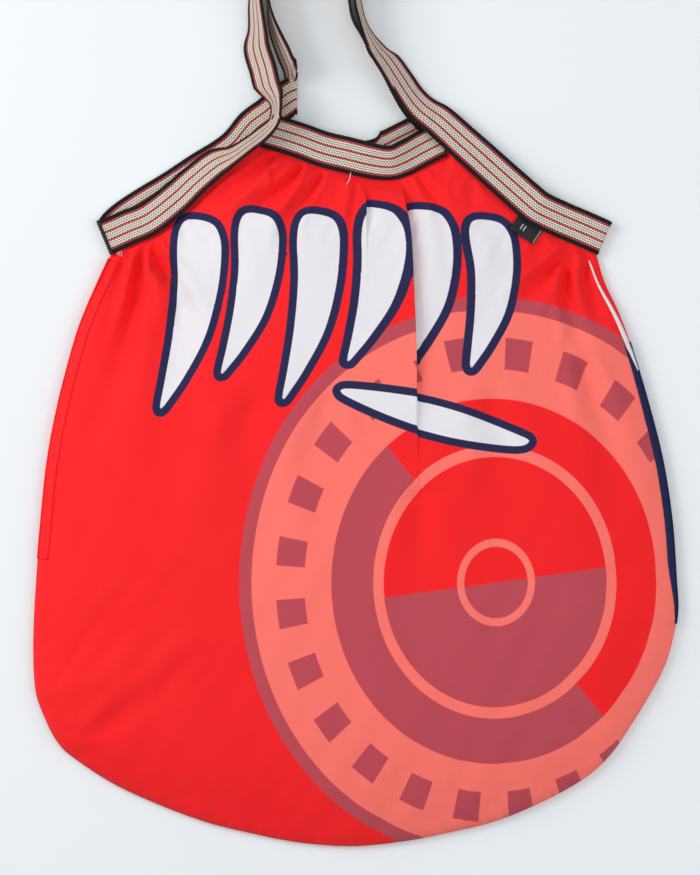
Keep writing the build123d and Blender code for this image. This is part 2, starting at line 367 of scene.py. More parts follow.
def add_floor():
    corners = [(x * FLOOR_SIDE, y * FLOOR_SIDE, 0) for x, y in ((-1, -1), (1, -1), (1, 1), (-1, 1))]
    floor = make_mesh("floor", corners, [(0, 1, 2, 3)], smooth_shade=False)
    floor.location.z = -FLOOR_DROP * MM
    return floor


add_camera()
add_softbox("key_left", (-1500, 700, 1100), (0, 0, 0), (1.1, 1.1), 23, (1.0, 1.0, 0.99))
add_softbox("fill_right", (1500, -200, 1400), (0, 0, 0), (1.6, 1.6), 13, (0.98, 0.99, 1.0))
add_softbox("overhead", (0, 200, 2200), (0, 0, 0), (2.2, 2.2), 13, (0.99, 1.0, 1.0))
world = bpy.data.worlds.new("studio")
world.use_nodes = True
world.node_tree.nodes["Background"].inputs["Color"].default_value = (0.92, 0.96, 1.0, 1)
world.node_tree.nodes["Background"].inputs["Strength"].default_value = 0.38
bpy.context.scene.world = world
bpy.context.scene.view_settings.view_transform = "Standard"
floor = add_floor()


# ---- shader building ----
class Value:
    """A shader's socket, which takes plain arithmetic with other sockets and numbers."""

    def __init__(self, shader, socket):
        self.shader = shader
        self.socket = socket

    def __add__(self, other):
        return self.shader.maths("ADD", self, other)

    def __sub__(self, other):
        return self.shader.maths("SUBTRACT", self, other)

    def __rsub__(self, other):
        return self.shader.maths("SUBTRACT", other, self)

    def __mul__(self, other):
        return self.shader.maths("MULTIPLY", self, other)

    def __truediv__(self, other):
        return self.shader.maths("DIVIDE", self, other)


class Shader:
    """A material's nodes, written as plain calls."""

    def __init__(self, name, **fixed):
        self.material = bpy.data.materials.new(name)
        self.material.use_nodes = True
        self.tree = self.material.node_tree
        self.bsdf = self.tree.nodes["Principled BSDF"]
        for key, value in fixed.items():
            self.bsdf.inputs[key.replace("_", " ")].default_value = value

    def node(self, kind, **settings):
        node = self.tree.nodes.new(kind)
        for key, value in settings.items():
            setattr(node, key, value)
        return node

    def plug(self, value, socket):
        if isinstance(value, Value):
            self.tree.links.new(value.socket, socket)
        else:
            socket.default_value = value

    def output(self, node, key=0):
        return Value(self, node.outputs[key])

    def maths(self, operation, *values):
        node = self.node("ShaderNodeMath", operation=operation)
        for value, socket in zip(values, node.inputs):
            self.plug(value, socket)
        return self.output(node)

    def absolute(self, value):
        return self.maths("ABSOLUTE", value)

    def sine(self, value):
        return self.maths("SINE", value)

    def zigzag(self, value):
        """0 half way between whole numbers and 0.5 at them."""
        return self.absolute(self.maths("FRACT", value) - 0.5)

    def step(self, value, low, high):
        """0 below low and 1 above high, smoothly between; reversed where low is the larger."""
        node = self.node("ShaderNodeMapRange", interpolation_type="SMOOTHSTEP")
        ends = (high, low, 1.0, 0.0) if low > high else (low, high, 0.0, 1.0)
        for number, end in enumerate(ends, 1):
            node.inputs[number].default_value = end
        self.plug(value, node.inputs[0])
        return self.output(node)

    def attribute(self, name):
        return self.output(self.node("ShaderNodeAttribute", attribute_name=name), "Fac")

    def flat_cloth(self):
        """The place in the flat cloth, as x and y."""
        place_in_cloth = self.node("ShaderNodeAttribute", attribute_name="flat")
        node = self.node("ShaderNodeSeparateXYZ")
        self.plug(self.output(place_in_cloth, "Vector"), node.inputs[0])
        return self.output(node, 0), self.output(node, 1)

    def join(self, x, y):
        node = self.node("ShaderNodeCombineXYZ")
        for value, socket in zip((x, y, 0.0), node.inputs):
            self.plug(value, socket)
        return self.output(node)

    def noise(self, vector, scale, detail):
        node = self.node("ShaderNodeTexNoise")
        self.plug(vector, node.inputs["Vector"])
        node.inputs["Scale"].default_value = scale
        node.inputs["Detail"].default_value = detail
        node.inputs["Roughness"].default_value = 0.5
        return self.output(node, "Fac")

    def mix(self, factor, a, b):
        node = self.node("ShaderNodeMix", data_type="RGBA")
        self.plug(factor, node.inputs["Factor"])
        for value, socket in ((a, node.inputs[6]), (b, node.inputs[7])):
            self.plug(value if isinstance(value, Value) else (*value, 1), socket)
        return self.output(node, 2)

    def finish(self, colour, height=None, distance=0.0, strength=1.0):
        """The material, with its colour and, where there is one, its bump."""
        self.plug(colour, self.bsdf.inputs["Base Color"])
        if height is not None:
            node = self.node("ShaderNodeBump")
            node.inputs["Strength"].default_value = strength
            node.inputs["Distance"].default_value = distance
            self.plug(height, node.inputs["Height"])
            self.plug(self.output(node), self.bsdf.inputs["Normal"])
        return self.material


def floor_material():
    s = Shader("studio_floor", Roughness=0.6)
    position = s.output(s.node("ShaderNodeNewGeometry"), "Position")
    return s.finish(s.mix(s.noise(position, 3.0, 3), (0.80, 0.83, 0.85), (0.83, 0.86, 0.88)))


WEAVE_ALONG = 2.0         # pitch of the painted shade dashes between the warp yarns
WEAVE_ACROSS = 1.5
RED_LINES = (9.0, 3.05)   # how far from the webbing's middle
STITCH = 0.62             # pitch of the jersey's knit


def webbing_material():
    """Striped webbing: beige weave with painted shade in the gaps and grooves between the yarns, four red
    lines and black selvedges.
    """
    s = Shader("striped_webbing", Roughness=0.9, Specular_IOR_Level=0.2)
    across, along = s.attribute("across"), s.attribute("along")
    wide = s.absolute(across)
    wander = (s.noise(s.join(along, across), 0.35, 2) - 0.5) * 0.5
    rows = (across + wander) / WEAVE_ACROSS
    shift = s.maths("FLOORED_MODULO", s.maths("FLOOR", rows), 2.0) * 0.5
    off_x = s.zigzag((along + wander) / WEAVE_ALONG + shift)
    off_y = s.zigzag(rows)
    yarn = 1.0 - s.step(off_x, 0.38, 0.30) * s.step(off_y, 0.26, 0.18)
    groove = s.step(s.zigzag(along / (WEAVE_ALONG / 2)), 0.34, 0.5)
    fleck = s.noise(s.join(along, across), 1.3, 3)
    # painted shade: near-black colour for the gaps between the yarns
    gap_shade = s.mix(fleck, (0.030, 0.026, 0.018), (0.16, 0.13, 0.09))
    light = s.mix(fleck, (0.68, 0.60, 0.48), (1.0, 0.95, 0.84))
    # painted shade: the yarns darkened along the grooves across the weave
    light = s.mix(groove * 0.55, light, (0.26, 0.21, 0.15))
    colour = s.mix(yarn, gap_shade, light)
    outer, inner = [s.step(s.absolute(wide - (wander * 0.4 + line)), 0.62, 0.38) for line in RED_LINES]
    crimson = s.mix(fleck, (0.42, 0.008, 0.028), (0.66, 0.020, 0.060))
    colour = s.mix(s.maths("MAXIMUM", outer, inner), colour, crimson)
    rope = s.sine((along + across * 0.5) * (2 * math.pi / ROPE_PITCH))
    black = s.mix(s.step(rope, -0.6, 0.9) * fleck, (0.006, 0.006, 0.007), (0.030, 0.030, 0.032))
    colour = s.mix(s.step(wide, SELVEDGE - 0.15, SELVEDGE + 0.15), colour, black)
    relief = (yarn - groove * 0.5) * 0.6 + fleck * 0.25
    fibre = s.noise(s.join(along * 3.0, across * 9.0), 1.0, 2)
    return s.finish(colour, relief + fibre * 0.15, 0.00045, 0.9)


def knit_relief(s, x, y):
    """Rows of small V stitches of the jersey, as a height."""
    lean = s.zigzag(x / STITCH)
    row = s.zigzag(y / STITCH + lean * 1.3)
    return row * 1.4 - lean * 0.8


ROUNDEL = (96.5, -59.5)
ROUNDEL_SQUASH = 0.895    # the round print lies squeezed by the gathers
PRINT_EDGE = 0.45         # half the softness of a printed edge
BORDER, BAND = 196.5, 187.0
TICKS = 24
TICK_INNER, TICK_OUTER = 146.5, 168.5
TWO_TONE, RIM_LINE, CENTRE = 126.0, 94.0, 86.0
EYE_INNER, EYE_OUTER = 24.5, 30.0
NAVY_EDGE = 5.35          # width of the dark edge round each white shape
RED = (0.93, 0.013, 0.016)
PINK = (1.0, 0.180, 0.145)
MAROON = (0.50, 0.066, 0.090)
NAVY = (0.012, 0.018, 0.072)
WHITE = (0.80, 0.77, 0.81)


def add_print(s, colour, x, y):
    """The sublimated print: a roundel with tick marks, under navy-edged white shapes."""
    dx = (x - ROUNDEL[0]) / ROUNDEL_SQUASH
    dy = y - ROUNDEL[1]
    radius = s.maths("SQRT", dx * dx + dy * dy)

    def disc(limit):
        return s.step(radius, limit + PRINT_EDGE, limit - PRINT_EDGE)

    colour = s.mix(disc(BORDER), colour, MAROON)
    colour = s.mix(disc(BAND), colour, PINK)
    blocks = s.zigzag(s.maths("ARCTAN2", dy, dx) * (TICKS / (2 * math.pi)))
    past_inner = s.step(radius, TICK_INNER - 0.5, TICK_INNER + 0.5)
    tall = past_inner * s.step(radius, TICK_OUTER + 0.5, TICK_OUTER - 0.5)
    colour = s.mix(s.step(blocks, 0.24, 0.22) * tall, colour, MAROON)
    lower_left = s.step(dx + dy * 0.9, 1.0, -1.0)
    colour = s.mix(disc(TWO_TONE), colour, s.mix(lower_left, RED, MAROON))
    colour = s.mix(disc(RIM_LINE), colour, PINK)
    colour = s.mix(disc(CENTRE), colour, RED)
    below = s.step(dy + dx * -0.12, 0.5, -0.5)
    colour = s.mix(disc(CENTRE) * below, colour, MAROON)
    past_eye = s.step(radius, EYE_INNER - 0.5, EYE_INNER + 0.5)
    colour = s.mix(disc(EYE_OUTER) * past_eye, colour, PINK)
    ink = s.attribute("ink")
    colour = s.mix(s.step(ink, NAVY_EDGE + 0.25, NAVY_EDGE - 0.25), colour, NAVY)
    return s.mix(s.step(ink, 0.25, -0.25), colour, WHITE)


def jersey_material(name, printed=True):
    """Knit polyester, dyed red, with the print where it is wanted."""
    s = Shader(name, Roughness=0.72, Sheen_Weight=0.03, Sheen_Roughness=0.5, Specular_IOR_Level=0.16)
    x, y = s.flat_cloth()
    cloud = s.noise(s.join(x, y), 0.02, 4)
    grain = s.noise(s.join(x, y * 0.35), 1.4, 3)
    colour = s.mix(cloud, (0.90, 0.010, 0.013), (0.96, 0.017, 0.020))
    if printed:
        colour = add_print(s, colour, x, y)
    colour = s.mix((grain - 0.35) * 0.10, colour, (0.45, 0.004, 0.006))
    return s.finish(colour, knit_relief(s, x, y) * 0.7 + grain * 0.5, 0.00022, 0.55)


def plain_knit(name, colour_a, colour_b):
    s = Shader(name, Roughness=0.75, Sheen_Weight=0.03, Specular_IOR_Level=0.16)
    x, y = s.flat_cloth()
    colour = s.mix(s.noise(s.join(x, y), 0.6, 3), colour_a, colour_b)
    return s.finish(colour, knit_relief(s, x, y), 0.0002, 0.6)


floor.data.materials.append(floor_material())
webbing = webbing_material()
jersey = jersey_material("jersey_print")
jersey_plain = jersey_material("jersey_plain", printed=False)
lining = plain_knit("jersey_inside", (0.70, 0.34, 0.33), (0.78, 0.42, 0.40))
navy_knit = plain_knit("navy_stripe", (0.008, 0.012, 0.060), (0.016, 0.022, 0.085))
white_knit = plain_knit("white_piping", (0.74, 0.73, 0.74), (0.84, 0.83, 0.85))


# ---- the pouch ----
COVER = 7.5               # how far the webbing reaches over the fabric's top edge
UNDER = 2.0               # the front's depth below the middle of the webbing
BACK_UNDER = -0.9         # the back lies above its webbing
SWELL = 24.0              # how high the front stands in the middle before it settles
CLOTH = 0.8
TRIM = 0.3
RIM_STEP = 2.6
TOP_STEP = 2.2
BACK_Z = 1.6
BACK_RIM_Z = 3.3
BACK_SHRINK = 0.9965      # the back's rim lies just inside the front's
PRESSURE = 1.0
FRAMES = 36
GATHER_SLACK = 0.12       # how much wider the front is cut than its gathered top edge
SPARE = 1.012             # and how much larger than its outline all over

# Hollows that fan out from the gathers: a line from the binding down, half width, depth.
HOLLOWS = [
    ([(-54, 238), (-67, 226), (-84, 214), (-106, 200), (-126, 182)], 6.5, 4.6),
    ([(-35, 231), (-45, 218), (-58, 206), (-76, 192), (-90, 170)], 6.0, 4.6),
    ([(-19, 228), (-27, 216), (-36, 203), (-47, 186), (-54, 158)], 5.0, 3.8),
    ([(2, 224), (0, 208), (-3, 188), (-6, 160)], 4.0, 1.8),
    ([(41, 229), (50, 214), (58, 204), (61, 186), (62, 160)], 5.5, 2.8),
    ([(-146, 177), (-149, 160), (-152, 140), (-158, 108), (-164, 70)], 6.0, 5.4),
    ([(-143, 178), (-136, 163), (-126, 148), (-120, 126), (-123, 96)], 7.5, 4.6),
    ([(-158, 173), (-164, 150), (-172, 120), (-180, 86)], 6.0, 2.8),
    ([(-120, 193), (-117, 176), (-112, 160)], 5.0, 1.6),
    ([(151, 175), (141, 162), (132, 153), (117, 136), (108, 120)], 6.0, 5.4),
    ([(152, 173), (147, 156), (147, 138), (152, 118), (158, 90)], 5.5, 5.0),
    ([(162, 167), (160, 150), (166, 132), (176, 108)], 4.6, 4.6),
    ([(132, 184), (125, 170), (112, 160)], 5.0, 1.6),
    ([(84, 222), (80, 206), (74, 188)], 6.0, 1.4),
]
HOLLOW_GAIN = 1.9
# Broad, shallow drapes further down.
DRAPES = [
    ([(-150, 150), (-166, 90), (-178, 20), (-184, -50)], 16.0, 2.6),
    ([(-118, 130), (-126, 70), (-132, 0), (-130, -80)], 22.0, 1.8),
    ([(-70, 60), (-74, 0), (-70, -80), (-60, -150)], 26.0, 1.6),
    ([(44, 0), (46, -50), (44, -110), (38, -160)], 20.0, 1.9),
    ([(96, 60), (104, 0), (108, -70), (100, -140)], 24.0, 1.6),
    ([(158, 90), (174, 40), (184, -20), (182, -80)], 15.0, 2.4),
    ([(-20, 60), (-22, 0), (-16, -80)], 20.0, 1.4),
]


def top_edge(binding, under):
    """The fabric's top edge along one binding: below the webbing, or above it where under is negative."""
    rows = []
    for sewn, free in binding:
        a, b = np.array(sewn, float), np.array(free, float)
        x, y, z = a + (b - a) * TOP_REACH
        level = min(a[2], z) if under > 0 else max(a[2], z)
        rows.append((x, y, level - under))
    return rows


def outline(right_ring, neck, left_ring, under):
    """The rim from the left corner round to the right one, then the top edge back to the left."""
    rim = smooth([(x, y, RIM_Z) for x, y in RIM], RIM_STEP)
    right, middle, left = [top_edge(binding, under) for binding in (right_ring, neck, left_ring)]
    return rim, smooth(right + middle[::-1] + left[::-1], TOP_STEP)


def even_points(low, high, pitch):
    """A triangular lattice."""
    xs = np.arange(low[0], high[0], pitch)
    ys = np.arange(low[1], high[1], pitch * math.sqrt(3) / 2)
    grid_x, grid_y = np.meshgrid(xs, ys)
    grid_x[1::2] += pitch / 2
    return np.column_stack([grid_x.ravel(), grid_y.ravel()])


def cloth_points(loop, top, lines, coarse, fine, fine_reach):
    """Lattice points inside the outline, closer together near the gathered top edge."""
    low, high = loop.min(0), loop.max(0)
    kept = []
    for pitch, near_top in ((coarse, False), (fine, True)):
        points = even_points(low, high, pitch)
        points = points[inside(points, loop)]
        edge, _ = segment_distance(points, np.vstack([loop, loop[:1]]))
        points = points[edge > pitch * 0.6]
        reach, _ = segment_distance(points, top)
        points = points[(reach < fine_reach) == near_top]
        for line in lines:
            gap, _ = segment_distance(points, line)
            points = points[gap > pitch * 0.45]
        kept.append(points)
    return np.vstack(kept)


def triangulate(loop, lines, points):
    """Triangles that keep the outline and the lines as edges."""
    verts = [tuple(p) for p in loop]
    edges = [(i, (i + 1) % len(loop)) for i in range(len(loop))]
    for line in lines:
        start = len(verts)
        verts += [tuple(p) for p in line]
        edges += [(start + i, start + i + 1) for i in range(len(line) - 1)]
    verts += [tuple(p) for p in points]
    out = delaunay_2d_cdt([Vector(v) for v in verts], edges, [list(range(len(loop)))], 1, 1e-4)
    return np.array([tuple(v) for v in out[0]]), out[2]


def plan_line(places, step=3.0):
    return smooth([(x, y, 0) for x, y in places], step)[:, :2]


def near(gap, reach):
    """1 at an edge, and fading over reach millimetres."""
    return np.exp(-gap / reach)


def far(gap, reach):
    """0 at an edge, and growing to 1 over reach millimetres."""
    return 1 - np.exp(-gap / reach)


def rounded_rim(gap):
    """Height of the rolled fold above its middle, by the distance from the rim."""
    share = np.clip(gap / RIM_ROUND, 0, 1)
    return RIM_ROUND * np.sqrt(np.maximum(0, 1 - (1 - share) ** 2))


def hollow_depth(flat, hollows):
    """How deep each place is pressed in, with a low ridge along both sides of every hollow."""
    total = np.zeros(len(flat))
    for places, half, depth in hollows:
        line = plan_line(places)
        gap, run = segment_distance(flat, line)
        length = np.linalg.norm(np.diff(line, axis=0), axis=1).sum()
        share = np.clip(run / length, 0, 1)
        wide = half * (0.4 + 0.9 * share)
        fade = (1 - share) ** 1.3 * np.where(share <= 0, np.exp(-gap / half), 1)
        r = gap / wide
        total += HOLLOW_GAIN * depth * fade * (np.exp(-r ** 2) - 0.42 * np.exp(-((r - 1.9) / 0.8) ** 2))
    return total


def uneven(flat, seed, shortest, longest, count=9):
    """Low uneven undulations across the cloth, from about -1 to 1."""
    draw = np.random.default_rng(seed)
    total = np.zeros(len(flat))
    for wave in np.geomspace(shortest, longest, count):
        angle = draw.uniform(-0.55, 0.55)
        across = flat[:, 0] * math.cos(angle) + flat[:, 1] * math.sin(angle)
        total += np.sin(2 * np.pi * (across / wave + draw.uniform())) * draw.uniform(0.5, 1)
    return total / count * 2


def cut_cloth(rings, coarse, fine, reach, lines=()):
    """The flat cloth's points and triangles, then its rim and its top edge."""
    rim, top = outline(*rings)
    loop = np.vstack([rim, top[1:-1]])[:, :2]
    lines = [line[inside(line, loop)] for line in lines]
    points = cloth_points(loop, top[:, :2], lines, coarse, fine, reach)
    flat, faces = triangulate(loop, lines, points)
    return flat, faces, rim, top


def edge_gaps(flat, rim, top):
    """Each place's distances from the rim and the top edge, and the top edge's height beside it."""
    rim_gap, _ = segment_distance(flat, rim[:, :2])
    top_gap, top_run = segment_distance(flat, top[:, :2])
    return rim_gap, top_gap, np.interp(top_run, run_along(top[:, :2]), top[:, 2])


def simulate(obj, held, rest):
    """Lets the cloth settle from its cut size, gathered along its pinned edges."""
    obj.shape_key_add(name="Basis")
    key = obj.shape_key_add(name="Rest")
    key.data.foreach_set("co", to_frame(rest).ravel())
    key.value = 0
    pins = obj.vertex_groups.new(name="pins")
    pins.add([int(i) for i in np.flatnonzero(held)], 1.0, "REPLACE")
    cloth = obj.modifiers.new("cloth", "CLOTH")
    settings = cloth.settings
    settings.quality = 6
    settings.mass = 0.0006
    settings.tension_stiffness = 12
    settings.compression_stiffness = 12
    settings.shear_stiffness = 4
    settings.bending_stiffness = 0.02
    settings.air_damping = 2.0
    settings.vertex_group_mass = "pins"
    settings.rest_shape_key = key
    settings.use_pressure = True
    settings.uniform_pressure_force = PRESSURE
    settings.effector_weights.gravity = 0.1
    cloth.collision_settings.use_collision = False
    cloth.collision_settings.use_self_collision = False
    cloth.point_cache.frame_end = FRAMES
    scene = bpy.context.scene
    for number in range(1, FRAMES + 1):
        scene.frame_set(number)
    settled = obj.evaluated_get(bpy.context.evaluated_depsgraph_get())
    shape = np.empty(len(obj.data.vertices) * 3)
    settled.data.vertices.foreach_get("co", shape)
    obj.modifiers.remove(cloth)
    obj.shape_key_clear()
    obj.vertex_groups.remove(pins)
    scene.frame_set(1)
    return (shape.reshape(-1, 3) - np.array(HOME)) / MM


PLEAT_EDGE = 0.6          # half the plan width of the riser under a pleat's edge


def pleat_shape(flat):
    """How high each place stands by the pleats, how far it slides, and how much the print is shifted."""
    height = np.zeros(len(flat))
    shift = np.zeros(len(flat))
    slide = np.zeros(len(flat))
    for pleat in PLEATS:
        line = plan_line(pleat["line"])[::-1]
        away = flat[:, 0] - np.interp(flat[:, 1], line[:, 1], line[:, 0])
        to_left, to_right = np.maximum(-away, 0), np.maximum(away, 0)
        middle = pleat["end"] + pleat["fade"] / 2
        strength = 1 / (1 + np.exp((middle - flat[:, 1]) / (pleat["fade"] / 7)))
        under = np.clip((away + PLEAT_EDGE) / (2 * PLEAT_EDGE), 0, 1)
        over = strength * (1 - under)
        under = strength * under
        height += pleat["height"] * (near(to_left, pleat["reach"]) * over - 0.3 * near(to_right, 9) * under)
        slide += pleat["lap"] * near(to_left, 5) * over
        shift += pleat["hidden"] / 2 * (near(to_right, 55) * under - near(to_left, 42) * over)
    return height, shift, slide


# The print on the chest is a row of slanted tapering blades over a sweep. Nothing in it reads as a letter.
# Each blade is its top, its bottom and its width.
BLADES = [
    ((-108, 190), (-134, 60), 31), ((-68, 194), (-92, 84), 28), ((-29, 193), (-50, 66), 28),
    ((10, 198), (-8, 92), 27), ((58, 197), (46, 92), 27), ((96, 190), (84, 88), 27),
]
BLADE_PROFILE = [
    (0.0, 0.22), (0.04, 0.42), (0.14, 0.5), (0.35, 0.45), (0.6, 0.36), (0.82, 0.2), (0.96, 0.07), (1.0, 0.02),
]
BLADE_CURVE = 9.0
SWEEP = [
    (-12, 72), (-2, 73), (34, 68), (72, 58), (112, 42), (120, 37), (108, 34), (66, 40), (28, 52), (-4, 66),
]


def blade(top, bottom, width):
    """The closed outline of one blade, which bows to the right and ends in a point."""
    top, bottom = np.array(top, float), np.array(bottom, float)
    down = unit(bottom - top)
    side = np.array([-down[1], down[0]])
    share, half = np.array(BLADE_PROFILE).T[..., None]
    spine = top + (bottom - top) * share + side * (BLADE_CURVE * np.sin(np.pi * share))
    right, left = spine + side * (half * width), spine - side * (half * width)
    return [tuple(p) for p in np.vstack([right, left[::-1]])]


def ink_distance(flat):
    """Distance to the nearest printed shape, negative inside it."""
    total = np.full(len(flat), 1e3)
    for shape in [blade(*b) for b in BLADES] + [SWEEP]:
        loop = smooth([(x, y, 0) for x, y in shape], 2.0, closed=True)[:, :2]
        gap, _ = segment_distance(flat, loop)
        total = np.minimum(total, np.where(inside(flat, loop[:-1]), -gap, gap))
    return total


def refine(obj):
    """Applies one subdivision, and gives the new points with their places in the flat cloth."""
    split = obj.modifiers.new("finer", "SUBSURF")
    split.levels = split.render_levels = 1
    fine = bpy.data.meshes.new_from_object(obj.evaluated_get(bpy.context.evaluated_depsgraph_get()))
    obj.modifiers.clear()
    obj.data = fine
    flat = np.empty(len(fine.vertices) * 3, np.float32)
    fine.attributes["flat"].data.foreach_get("vector", flat)
    return mesh_points(obj), flat.reshape(-1, 3)[:, :2].astype(float)


def thicken(obj, depth, outer, inner, offset=-1.0):
    obj.data.materials.clear()
    obj.data.materials.append(outer)
    obj.data.materials.append(inner)
    solid = obj.modifiers.new("thickness", "SOLIDIFY")
    solid.thickness = depth * MM
    solid.offset = offset
    solid.material_offset = 1
    solid.use_even_offset = False
    obj.data.shade_smooth()


def build_front():
    """The gathered front: cut wide and settled with Cloth, then the pleats and hollows are pressed in."""
    lines = []
    for pleat in PLEATS:
        line = plan_line(pleat["line"])
        lines += [line + (shift, 0) for shift in (-PLEAT_EDGE * 3, -PLEAT_EDGE, PLEAT_EDGE, PLEAT_EDGE * 3)]
    rings = (RIGHT_RING[:8], FRONT_NECK, LEFT_RING[:8], UNDER)
    flat, faces, rim, top = cut_cloth(rings, coarse=4.2, fine=2.3, reach=70, lines=lines)
    rim_gap, top_gap, top_height = edge_gaps(flat, rim, top)
    swell = SWELL * far(rim_gap, 50) * far(top_gap + 20, 70)
    base = RIM_Z + rounded_rim(rim_gap) + swell
    bare = np.maximum(top_gap - COVER, 0)
    hold = near(bare, 26)
    height = base * (1 - hold) + top_height * hold
    held = (rim_gap < 0.05) | (top_gap < 0.05)
    obj = make_mesh("front_panel_cloth", np.column_stack([flat, height]), faces,
                    [("flat", flat_places(*flat.T))])
    fold = uneven(flat, seed=3, shortest=10, longest=26) * 1.2 * near(bare, 50) * far(bare, 6)
    set_points(obj, np.column_stack([flat, height + fold]))
    slack = 1 + GATHER_SLACK * near(bare, 60)
    rest = np.column_stack([flat[:, 0] * slack * SPARE, flat[:, 1] * SPARE, 0 * height + 8])
    set_points(obj, simulate(obj, held, rest))
    points, flat = refine(obj)
    rim_gap, top_gap, top_height = edge_gaps(flat, rim, top)
    bare = np.maximum(top_gap - COVER, 0)
    height, shift, slide = pleat_shape(flat)
    free = far(bare, 5)
    relief = uneven(flat, seed=11, shortest=24, longest=90) * 0.7
    relief += -hollow_depth(flat, HOLLOWS) - hollow_depth(flat, DRAPES)
    points[:, 2] += (relief + height) * free * far(rim_gap, 9)
    points[:, 2] = np.minimum(points[:, 2], top_height + 0.75 * bare)
    lowest = np.minimum(RIM_Z + rounded_rim(rim_gap) * 0.8, top_height)
    points[:, 2] = np.where(top_gap > COVER, np.maximum(points[:, 2], lowest), top_height)
    points[:, 0] += slide * free
    set_points(obj, points)
    printed = flat + np.column_stack([shift, 0 * shift])
    store(obj, "flat", flat_places(*printed.T))
    store(obj, "ink", ink_distance(printed))
    thicken(obj, CLOTH, jersey, lining)
    return obj


def build_back():
    """The back panel: flat on the surface, with low wrinkles."""
    rings = (RIGHT_BACK[:5], BACK_NECK, LEFT_BACK[:6], BACK_UNDER)
    flat, faces, rim, top = cut_cloth(rings, coarse=5.0, fine=3.4, reach=50)
    places = flat_places(*flat.T)
    obj = make_mesh("back_panel_cloth", places, faces, [("flat", places)])
    points, flat = refine(obj)
    rim_gap, top_gap, top_height = edge_gaps(flat, rim, top)
    bare = np.maximum(top_gap - COVER, 0)
    wrinkle = np.maximum(0, uneven(flat, seed=21, shortest=16, longest=60)) * 0.9 * far(bare, 20)
    roll = BACK_RIM_Z - (BACK_RIM_Z - BACK_Z) * rounded_rim(rim_gap) / RIM_ROUND
    away = far(bare, 8)
    points[:, 2] = top_height * (1 - away) + roll * away + wrinkle * far(rim_gap, 20)
    points[:, :2] *= BACK_SHRINK
    set_points(obj, points)
    store(obj, "flat", flat_places(*flat.T))
    thicken(obj, CLOTH, lining, jersey_plain)
    return obj


def height_finder(obj, from_above):
    """A function that gives the height of a sheet's surface over plan places, or a default."""
    tree = BVHTree.FromObject(obj, bpy.context.evaluated_depsgraph_get())
    start_z, direction = (90, -1) if from_above else (-30, 1)

    def find(plan, default):
        heights = []
        for x, y in plan:
            hit = tree.ray_cast(place(x, y, start_z), Vector((0, 0, direction)))[0]
            heights.append(default if hit is None else (hit.z - HOME.z) / MM)
        return np.array(heights)

    return find


front = build_front()
back = build_back()
for panel, node in ((front, "front_panel"), (back, "back_panel")):
    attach(panel, "bag")
    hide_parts(node)
top_of_front = height_finder(front, True)
under_back = height_finder(back, False)


# ---- side pieces, which wrap the rim ----
def grid_mesh(name, grid, flat_x, flat_y):
    """A sheet from rows of points, with their places in the flat cloth."""
    shape = grid.shape[:2]
    index = np.arange(shape[0] * shape[1]).reshape(shape)
    faces = np.stack([index[:-1, :-1], index[1:, :-1], index[1:, 1:], index[:-1, 1:]], -1).reshape(-1, 4)
    flat = flat_places(np.broadcast_to(flat_x, shape), np.broadcast_to(flat_y, shape))
    return make_mesh(name, grid.reshape(-1, 3), faces, [("flat", flat)])


def rim_stations(side, low_y, high_y, step=1.6):
    """Places on the rim on one side, going down, with the direction into the bag."""
    line = smooth([(x, y, 0) for x, y in RIM], step)[:, :2]
    if side > 0:
        line = line[::-1]
    along = unit(np.gradient(line, axis=0))
    inward = np.column_stack([-along[:, 1], along[:, 0]]) * -side
    keep = (line[:, 0] * side > 0) & (line[:, 1] < high_y) & (line[:, 1] > low_y)
    return line[keep], inward[keep]


PROUD = 0.35              # how far a side piece stands proud of the sheet that it covers
LIP_POINTS = 9
LIP_START = 0.04          # a lip's first point, as a share of its reach
# the strip's outside, round the rim: how far out, and how far above the rim's middle
BULGE = [(0.3, 1.4), (0.5, 0.0), (0.3, -1.4)]
LEAST_LIP_Z = 0.06


def rim_wrap(name, side, low_y, high_y, front_lip, back_lip, material):
    """A strip round the rim. front_lip is its reach on the front, by the share of the way down."""
    line, inward = rim_stations(side, low_y, high_y)
    rows = []
    for p, n, share in zip(line, inward, np.linspace(0, 1, len(line))):
        plan = p + n * (np.linspace(1, LIP_START, LIP_POINTS) * front_lip(share))[:, None]
        upper = np.column_stack([plan, top_of_front(plan, RIM_Z) + PROUD])
        outer = [(*(p - n * out), RIM_Z + rise) for out, rise in BULGE]
        plan = p + n * (np.linspace(LIP_START, 1, LIP_POINTS) * back_lip)[:, None]
        lower = np.column_stack([plan, np.maximum(under_back(plan, RIM_Z) - PROUD, LEAST_LIP_Z)])
        rows.append(np.vstack([upper, outer, lower]))
    grid = np.array(rows)
    girth = np.cumsum(np.linalg.norm(np.diff(grid, axis=1, prepend=grid[:, :1]), axis=2), axis=1)
    obj = grid_mesh(name, grid, girth, run_along(line)[:, None])
    thicken(obj, TRIM, material, material, offset=0)
    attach(obj, "bag")
    return obj


def insert_width(share):
    return 8.0


def stripe_width(share):
    """Narrower at the top, and down to a point at the bottom."""
    return 0.8 + 4.8 * min(1, 0.72 + share, (1 - share) / 0.22) ** 0.8


left_insert = rim_wrap("left_side_insert_cloth", -1, -45, 166, insert_width, 8.0, jersey_plain)
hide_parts("left_side_insert")
right_insert = rim_wrap("right_side_stripe_cloth", 1, -90, 108, stripe_width, 6.0, navy_knit)
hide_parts("right_side_insert")


